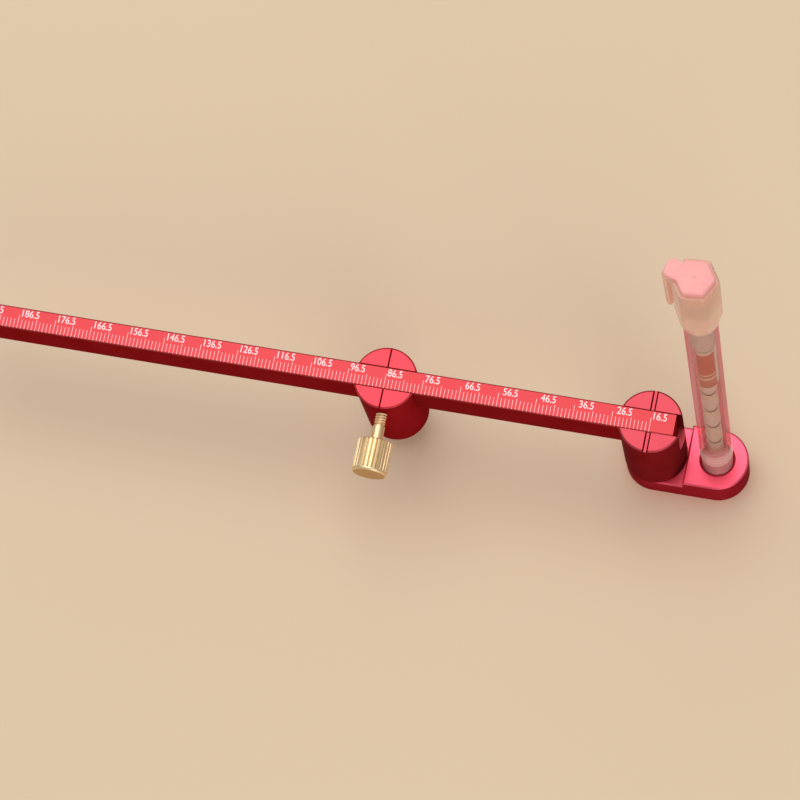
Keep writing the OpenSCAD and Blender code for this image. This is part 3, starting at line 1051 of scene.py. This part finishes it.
def makeBarrel(material):
    s = barrel
    outer, bore = s["radius"], s["bore"]
    low, high = penLow.z, penHigh.z
    gap = holder["nestGap"]
    seat = holderLow.z + holder["noseLength"] - gap
    seatTop = seat + 2 * s["wall"]
    throatRadius = holder["noseRadius"] + gap
    throatLow = holderLow.z - 2 * gap
    inwards, upwards = s["noseEdge"]
    profile = [(s["throat"], low), (s["noseEndRadius"] - inwards, low), (s["noseEndRadius"], low + upwards)]
    profile += [(outer - inset, s["noseTop"] + rise) for inset, rise in s["shoulder"]]
    for i in range(s["rings"]):
        z = s["ringStart"] + i * s["ringPitch"]
        for step in range(s["ringSteps"] + 1):
            swell = math.sin(math.pi * step / s["ringSteps"])
            profile.append((outer + s["ringOut"] * swell, z + s["ringWidth"] * step / s["ringSteps"]))
    profile += arc(outer - s["lip"], high - s["lip"], s["lip"], 0, 90, s["lipSteps"])
    profile += [(bore + s["boreEdge"], high), (bore, high - s["boreEdge"])]
    profile += [(bore, seatTop + bore - s["seatRadius"]), (s["seatRadius"], seatTop)]
    profile += [(s["seatRadius"], seat), (throatRadius, seat), (throatRadius, throatLow)]
    profile.append((s["throat"], throatLow - s["wall"]))
    mesh = ontoPencil(lathe("penBarrel", profile, closed=True))
    fit(asObject("penBarrel", mesh, material), "pencil", "clear_pink", "pen_barrel")


holder = {
    "radius": 2.15,
    "frontRadius": 2.05,
    "frontEdge": 0.1,
    "frontLength": 7.3,
    "slotRadius": 1.92,  # an open slot between the front's wall and the neck inside it
    "slotDepth": 0.7,
    "neckRadius": 1.65,
    "neckFlare": 2.0,
    "flareEdge": (0.05, 0.2),  # inwards and upwards
    "mouthRadius": 1.7,
    "noseLength": 2.2,
    "noseRadius": 1.65,
    "noseEndRadius": 1.25,
    "leadRadius": 0.96,
    "socketRadius": 1.15,
    "leadRoot": 0.65,
    "rimRadius": 1.85,
    "rimDrop": 0.3,
    "nestGap": 0.05,
    "groove": 11.2,  # a shallow ring round the body
    "grooveDepth": 0.1,
    "grooveHalf": 0.22,
    "floorHalf": 0.08,
    "segments": 64,
}


def makeHolders(material):
    s = holder
    outer, front, neck = s["radius"], s["frontRadius"], s["neckRadius"]
    inwards, upwards = s["flareEdge"]
    deep = outer - s["grooveDepth"]
    for i in range(1, holderCount + 1):
        node = f"lead_holder_{i}"
        low, high = [corner.z for corner in boxMm(node)]
        seat = low + s["noseLength"]
        frontEnd = seat + s["frontLength"]
        slotLow = frontEnd - s["slotDepth"]
        flareEnd = frontEnd + s["neckFlare"]
        groove = seat + s["groove"]
        nestLow = high - s["noseLength"]
        rootHigh = seat + s["leadRoot"]
        profile = [(s["leadRadius"], low), (s["noseEndRadius"], low), (s["noseRadius"], seat)]
        profile += [(front - s["frontEdge"], seat), (front, seat + s["frontEdge"]), (front, frontEnd)]
        profile += [(s["slotRadius"], frontEnd), (s["slotRadius"], slotLow)]
        profile += [(neck, slotLow), (neck, frontEnd)]
        profile += [(outer - inwards, flareEnd), (outer, flareEnd + upwards)]
        profile += [(outer, groove - s["grooveHalf"]), (deep, groove - s["floorHalf"])]
        profile += [(deep, groove + s["floorHalf"]), (outer, groove + s["grooveHalf"])]
        profile += [(outer, high - s["rimDrop"]), (s["rimRadius"], high), (s["mouthRadius"], high)]
        profile += [(s["noseEndRadius"] + s["nestGap"], nestLow), (s["socketRadius"], nestLow - s["nestGap"])]
        profile += [(s["socketRadius"], rootHigh), (s["leadRadius"], rootHigh)]
        mesh = ontoPencil(lathe(f"leadHolder{i}", profile, s["segments"], closed=True))
        fit(asObject(f"leadHolder{i}", mesh, material), "pencil", "milky_plastic", node)


label = {
    "radius": 2.98,
    "thickness": 0.12,
    "wrap": 255.0,
    "turn": -120.0,
    "curl": 0.25,  # how far the free edges spring inwards
    "curlShare": 0.2,  # share of each half that curls
    "columns": 72,
    "rows": 6,
}


def makeLabel(material):
    s = label
    verts = []
    faces = []
    for row in range(s["rows"] + 1):
        z = labelLow.z + (labelHigh.z - labelLow.z) * row / s["rows"]
        for column in range(s["columns"] + 1):
            share = column / s["columns"]
            lift = max(0.0, abs(share - 0.5) * 2 - (1 - s["curlShare"])) / s["curlShare"]
            radius = (s["radius"] - s["curl"] * lift * lift) * mm
            angle = math.radians(s["turn"] + s["wrap"] * share)
            verts.append((penX * mm + radius * math.cos(angle), radius * math.sin(angle), z * mm))
    wide = s["columns"] + 1
    for row in range(s["rows"]):
        for column in range(s["columns"]):
            first = row * wide + column
            faces.append((first, first + 1, first + 1 + wide, first + wide))
    mesh = bpy.data.meshes.new("penLabel")
    mesh.from_pydata(verts, [], faces)
    mesh.shade_smooth()
    obj = asObject("penLabel", mesh, material)
    wall = obj.modifiers.new("paper", "SOLIDIFY")
    wall.thickness = s["thickness"] * mm
    wall.offset = -1.0
    fit(settle(obj), "pencil", "label_paper", "pen_label")


cap = {
    "rimRadius": 4.8,
    "rimEdge": 0.2,
    "hexRadius": 5.8,
    "hexRound": 1.1,
    "hexTurn": 3.0,
    "roundLength": 6.0,
    "roundSteps": 8,
    "bore": 4.21,
    "upperBore": 3.11,
    "barrelTop": 140.06,
    "plugRadius": 4.8,
    "plugDepth": 6.0,
    "plugGap": 0.02,
    "topRound": 0.5,
    "topSteps": 4,
    "segments": 144,
    "softSteps": 3,
    "sharpAngle": 30.0,
}

clip = {
    "gap": 0.9,
    "thick": 1.0,
    "width": 3.2,
    "taper": 0.75,
    "length": 22.0,
    "bridge": 3.0,
    "root": 2.2,  # the bridge's reach over the gap and into the cap
    "bend": 0.8,
    "bendSteps": 6,
    "fillet": 0.6,
    # its round tip: out from the inner face and up from the end
    "tip": ((1.0, 1.2), (0.7, 0.25), (0.4, 0.0), (-0.1, 0.0), (-0.45, 0.5), (-0.45, 1.3), (0.0, 2.4)),
    "turn": -15.0,
    "edge": 0.25,
}

plug = {
    "lessRound": 0.1,  # its corners are sharper than the cap's
    "footEdge": 0.2,
    "topEdge": 0.6,
    "edgeSteps": 5,
    "crown": 0.12,
    "crownShares": (0.66, 0.33),
    "crownRadius": 1.4,
    "dimpleRadius": 0.45,
    "dimpleDepth": 0.25,
    "dimpleShares": (1.0, 0.7, 0.35),
    "tongueRoot": -1.5,
    "tongueShort": 0.5,  # from the tongue's end to the clip's outer face
    "tongueWidth": 4.6,
    "tongueRound": 1.3,
    "tongueSteps": 6,
    "tongueDrop": 0.15,
    "tongueEdge": 0.3,
    "sharpAngle": 50.0,
}

sixth = math.pi / 6


def hexRadius(angle, corner, rounding):
    # radius of a hexagon with round corners, whose sharp corners would lie at the given radius
    face = corner * math.cos(sixth)
    away = (angle + sixth) % (math.pi / 3) - sixth
    centre = (face - rounding) / math.cos(sixth)
    edge = math.atan2(rounding / 2, centre + rounding * math.cos(sixth))
    if abs(away) < edge:
        return centre * math.cos(away) + math.sqrt(rounding ** 2 - (centre * math.sin(away)) ** 2)
    return face / math.cos(sixth - abs(away))


def capRing(z, hexShare, circle, corner, rounding, inset=0.0):
    count = cap["segments"]
    points = []
    for i in range(count):
        angle = 2 * math.pi * i / count
        hexagon = hexRadius(angle - math.radians(cap["hexTurn"]), corner, rounding)
        radius = (circle * (1 - hexShare) + hexagon * hexShare - inset) * mm
        points.append((radius * math.cos(angle), radius * math.sin(angle), z * mm))
    return points


def roundOver(rounding, steps):
    # how far a round edge is set in and down, from its side to its top
    turns = [math.pi / 2 * step / steps for step in range(steps + 1)]
    return [(rounding * (1 - math.cos(turn)), rounding * (1 - math.sin(turn))) for turn in turns]


def capShell():
    s = cap
    low, high = capLow.z, capHigh.z
    hexStart = low + s["roundLength"]
    outer, rounding = s["hexRadius"], s["hexRound"]
    rings = [capRing(low, 0, s["rimRadius"] - s["rimEdge"], outer, rounding)]
    rings.append(capRing(low + s["rimEdge"], 0, s["rimRadius"], outer, rounding))
    for step in range(1, s["roundSteps"] + 1):
        share = step / s["roundSteps"]
        eased = share * share * (3 - 2 * share)
        circle = s["rimRadius"] + (outer * math.cos(sixth) - s["rimRadius"]) * share
        rings.append(capRing(low + s["roundLength"] * share, eased, circle, outer, rounding))
    rings.append(capRing((hexStart + high) / 2, 1, 0, outer, rounding))
    for inset, drop in roundOver(s["topRound"], s["topSteps"]):
        rings.append(capRing(high - drop, 1, 0, outer, rounding, inset))
    socket = s["plugRadius"] + s["plugGap"]
    socketLow = high - s["plugDepth"]
    rings.append(capRing(high, 1, 0, socket, rounding))
    rings.append(capRing(socketLow, 1, 0, socket, rounding))
    bores = [(socketLow, s["upperBore"]), (s["barrelTop"], s["upperBore"])]
    bores += [(s["barrelTop"], s["bore"]), (low, s["bore"])]
    rings += [capRing(z, 0, bore, outer, rounding) for z, bore in bores]
    return loft("penCap", rings, s["sharpAngle"], closed=True)


def capClip():
    # an arm that leaves the cap near its top, hangs beside it and ends in a round tip
    s = clip
    high = capHigh.z
    end = high - s["length"]
    bridgeLow = high - s["bridge"]
    face = -cap["hexRadius"] - s["gap"]
    outline = [(face + s["root"], high)]
    outline += arc(face - s["thick"] + s["bend"], high - s["bend"], s["bend"], 90, 180, s["bendSteps"])
    outline += [(face - out, end + up) for out, up in s["tip"]]
    outline += [(face, bridgeLow - s["fillet"]), (face + s["fillet"], bridgeLow)]
    outline.append((face + s["root"], bridgeLow))
    sides = [[], []]
    for x, z in outline:
        reach = (high - z) / s["length"]
        half = s["width"] / 2 * (1 - (1 - s["taper"]) * reach)
        sides[0].append((x, -half, z))
        sides[1].append((x, half, z))
    return prism("capClip", *sides, cap["sharpAngle"])


def softenEdges(obj, width):
    soften = obj.modifiers.new("soften", "BEVEL")
    soften.width = width * mm
    soften.segments = cap["softSteps"]
    settle(obj)


def joinTo(obj, extra):
    # an arm that points along -X is turned to the clip's place and joined on, and both move to the pencil
    extra.data.transform(Matrix.Rotation(math.radians(clip["turn"]), 4, "Z"))
    union = obj.modifiers.new("union", "BOOLEAN")
    union.operation = "UNION"
    union.solver = "EXACT"
    union.object = extra
    settle(obj)
    bpy.data.objects.remove(extra)
    smooth(ontoPencil(obj.data), cap["sharpAngle"])


def makeCap(material):
    shell = asObject("penCap", capShell(), material)
    arm = asObject("capClip", capClip(), material)
    softenEdges(arm, clip["edge"])
    joinTo(shell, arm)
    fit(shell, "cap", "clear_pink", "pen_cap")


def plugTongue():
    # a flat arm of the plug that covers the top of the clip's bridge
    s = plug
    half = s["tongueWidth"] / 2
    tip = -cap["hexRadius"] - clip["gap"] - clip["thick"] + s["tongueShort"]
    curve = s["tongueRound"]
    outline = [(s["tongueRoot"], -half)]
    outline += [(x, y - half + curve) for x, y in arc(tip + curve, 0, curve, 270, 180, s["tongueSteps"])]
    outline += [(x, y + half - curve) for x, y in arc(tip + curve, 0, curve, 180, 90, s["tongueSteps"])]
    outline.append((s["tongueRoot"], half))
    low = capHigh.z + cap["plugGap"]
    high = plugHigh.z - s["tongueDrop"]
    sides = [[(x, y, z) for x, y in outline] for z in (low, high)]
    return prism("plugTongue", *sides, cap["sharpAngle"])


def makePlug(material):
    s = plug
    low, high = plugLow.z, plugHigh.z
    corner = cap["plugRadius"]
    rounding = cap["hexRound"] - s["lessRound"]
    rings = [[(0.0, 0.0, low * mm)], capRing(low, 1, 0, corner, rounding, s["footEdge"])]
    rings.append(capRing(low + s["footEdge"], 1, 0, corner, rounding))
    for inset, drop in roundOver(s["topEdge"], s["edgeSteps"]):
        rings.append(capRing(high - s["crown"] - drop, 1, 0, corner, rounding, inset))
    for share in s["crownShares"]:
        circle = s["crownRadius"] + share
        rings.append(capRing(high - s["crown"] * share, share, circle, corner * share, rounding * share))
    for share in s["dimpleShares"]:
        depth = s["dimpleDepth"] * (1 - share)
        rings.append(capRing(high - depth, 0, s["dimpleRadius"] * share, corner, rounding))
    rings.append([(0.0, 0.0, (high - s["dimpleDepth"]) * mm)])
    body = asObject("capPlug", loft("capPlug", rings, s["sharpAngle"]), material)
    tongue = asObject("plugTongue", plugTongue(), material)
    softenEdges(tongue, s["tongueEdge"])
    joinTo(body, tongue)
    fit(body, "cap", "pink_plastic", "cap_plug")


def makeStage():
    radius = studio["floorRadius"]
    floor = lathe("floor", [(radius * share, 0) for share in (0, studio["floorMiddle"], 1)])
    floor.flip_normals()
    obj = asObject("floor", floor, paleFloor())
    world = bpy.data.worlds.new("room")
    bpy.context.scene.world = world
    world.use_nodes = True
    back = world.node_tree.nodes["Background"]
    back.inputs["Color"].default_value = studio["roomColour"]
    back.inputs["Strength"].default_value = studio["roomLevel"]
    softBox("keyBox", studio["keyPlace"], studio["keyAim"], studio["keySize"], studio["keyLevel"])
    softBox("fillBox", studio["fillPlace"], studio["keyAim"], studio["fillSize"], studio["fillLevel"])
    bpy.context.scene.view_settings.view_transform = "Standard"


makeCamera()
makeStage()
print("camera, floor and light are set")

finishNodes(redAnodised("redBeam", straightMarks("drawnRun")), "beam")
finishNodes(redAnodised("redEndDrum", turnedMarks(endX), indexGrooveShade(endX, "endGroove")), "end_drum")
finishNodes(redAnodised("redSlider", turnedMarks(sliderX), indexGrooveShade(sliderX, "sliderNotch")), "slider_drum")
finishNodes(redAnodised("redFoot", straightMarks("milledRun")), "foot")
finishNodes(groundSteel(), "beam_screw", "drum_dowel", "centre_point")
finishNodes(milkyPlastic("bushPlastic", milkyBush), "rear_bush")
finishNodes(milkyPlastic("paleNylon", paleNylon), "clamp_pad")
finishNodes(dullGraphite(), *[f"pencil_lead_{i}" for i in range(1, holderCount + 1)])
print("frame parts are finished")

white = whitePrint()
makeTicks(white)
makeNumbers(white)
print("scale is printed")

makeThumbScrew(turnedBrass())
print("thumb screw is made")

makeBarrel(clearPlastic("clearBarrel", clearBarrel))
makeHolders(milkyPlastic("milkyPlastic", milkyHolders))
makeLabel(printedLabel())
makeCap(clearPlastic("clearCap", clearCap))
makePlug(softPink())
print("pencil is made")
